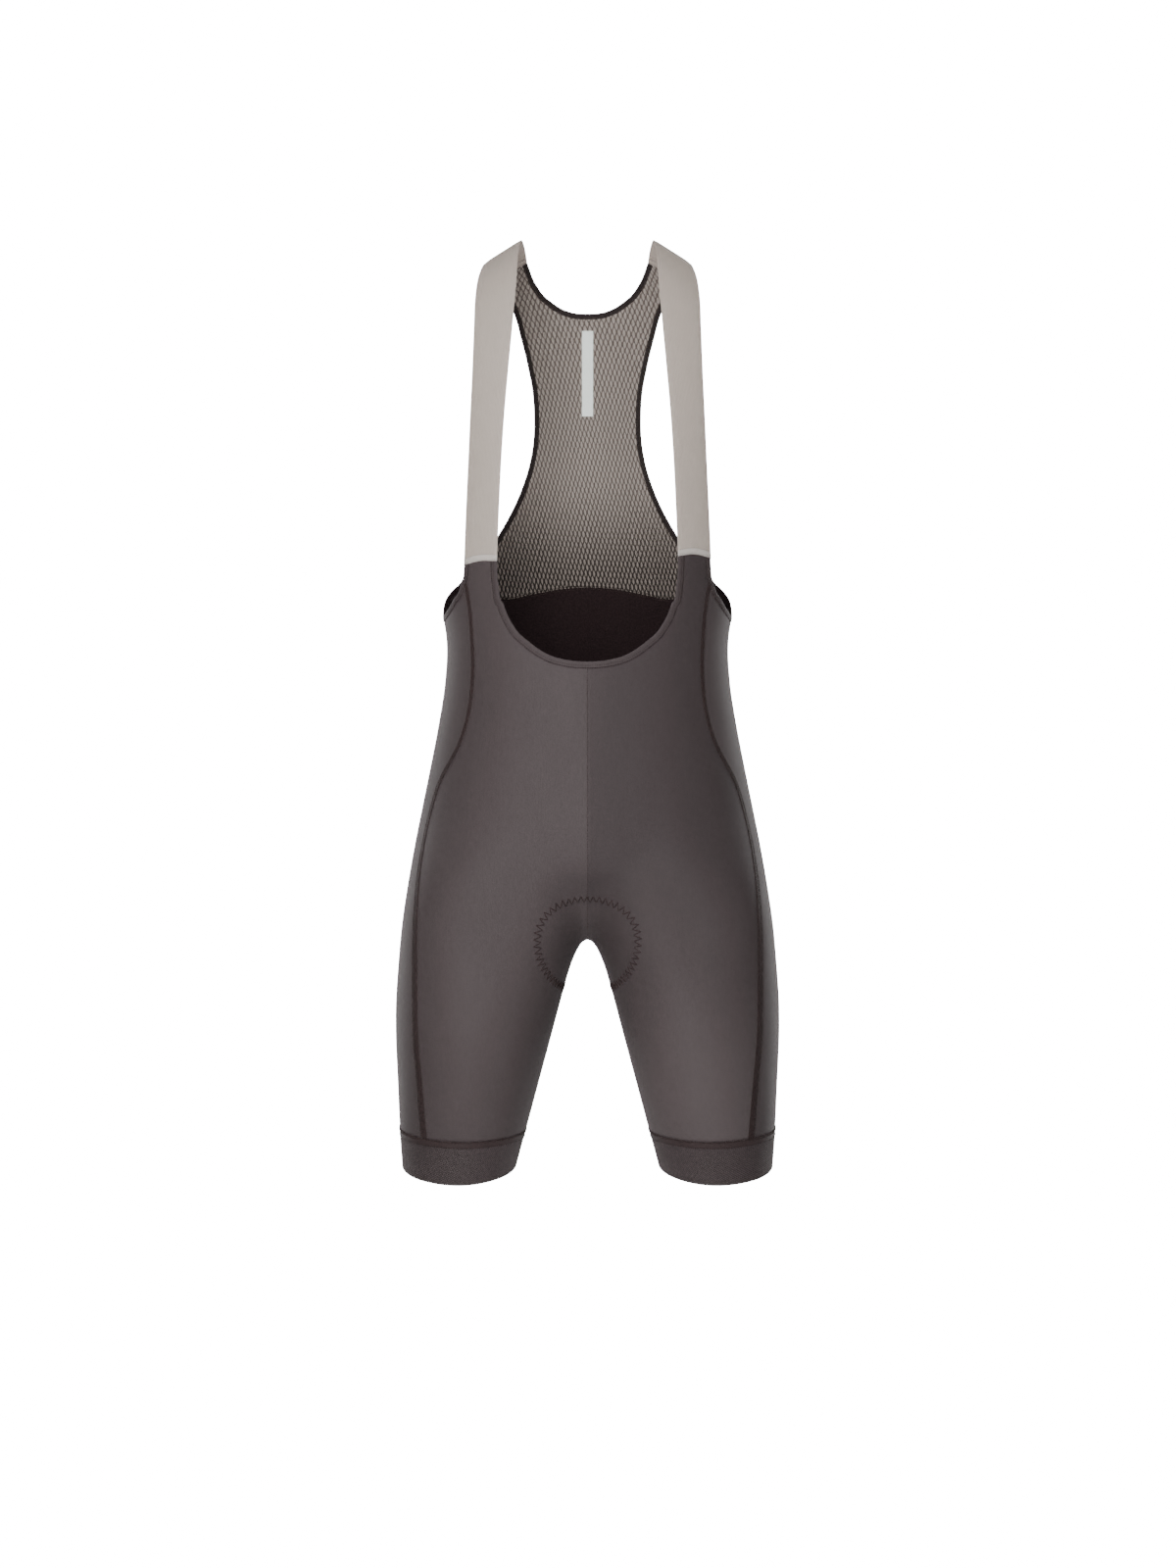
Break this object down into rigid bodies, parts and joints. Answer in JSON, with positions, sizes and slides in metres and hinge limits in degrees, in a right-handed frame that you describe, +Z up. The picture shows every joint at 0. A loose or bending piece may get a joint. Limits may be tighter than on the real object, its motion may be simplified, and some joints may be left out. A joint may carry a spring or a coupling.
{
  "type": "cycling bib shorts",
  "caption": "Cycling bib shorts with jersey legs and belly, elastic hem grippers, flat shoulder straps and a mesh racerback, hollow and open as worn.",
  "frame": {"origin": "at the shoulders, on the middle plane, level with the tops of the two straps", "axes": "+Z up, -Y to the front of the garment, +X to the wearer's left"},
  "size_m": [0.3904, 0.2266, 0.9496],
  "materials": {
    "jersey": "smooth stretch jersey, soft sheen",
    "jersey_band": "turned and stitched jersey",
    "gripper_elastic": "fine diagonal grain, matte",
    "strap_elastic": "pale flat elastic, matte",
    "back_mesh": "openwork knit over dark ground",
    "dark_binding": "matte knitted binding",
    "label": "smooth woven tape, bare",
    "chamois": "brushed foam-backed knit"
  },
  "bodies": {
    "root": {"front_left": "jersey", "front_right": "jersey", "back_left": "jersey", "back_right": "jersey", "left_gripper": "gripper_elastic", "right_gripper": "gripper_elastic", "left_strap": "strap_elastic", "right_strap": "strap_elastic", "left_armhole_band": "jersey_band", "right_armhole_band": "jersey_band", "scoop_band": "jersey_band", "left_mesh_binding": "dark_binding", "right_mesh_binding": "dark_binding", "neck_binding": "dark_binding", "back_mesh": "back_mesh", "label": "label", "chamois": "chamois"}
  },
  "joints": []
}
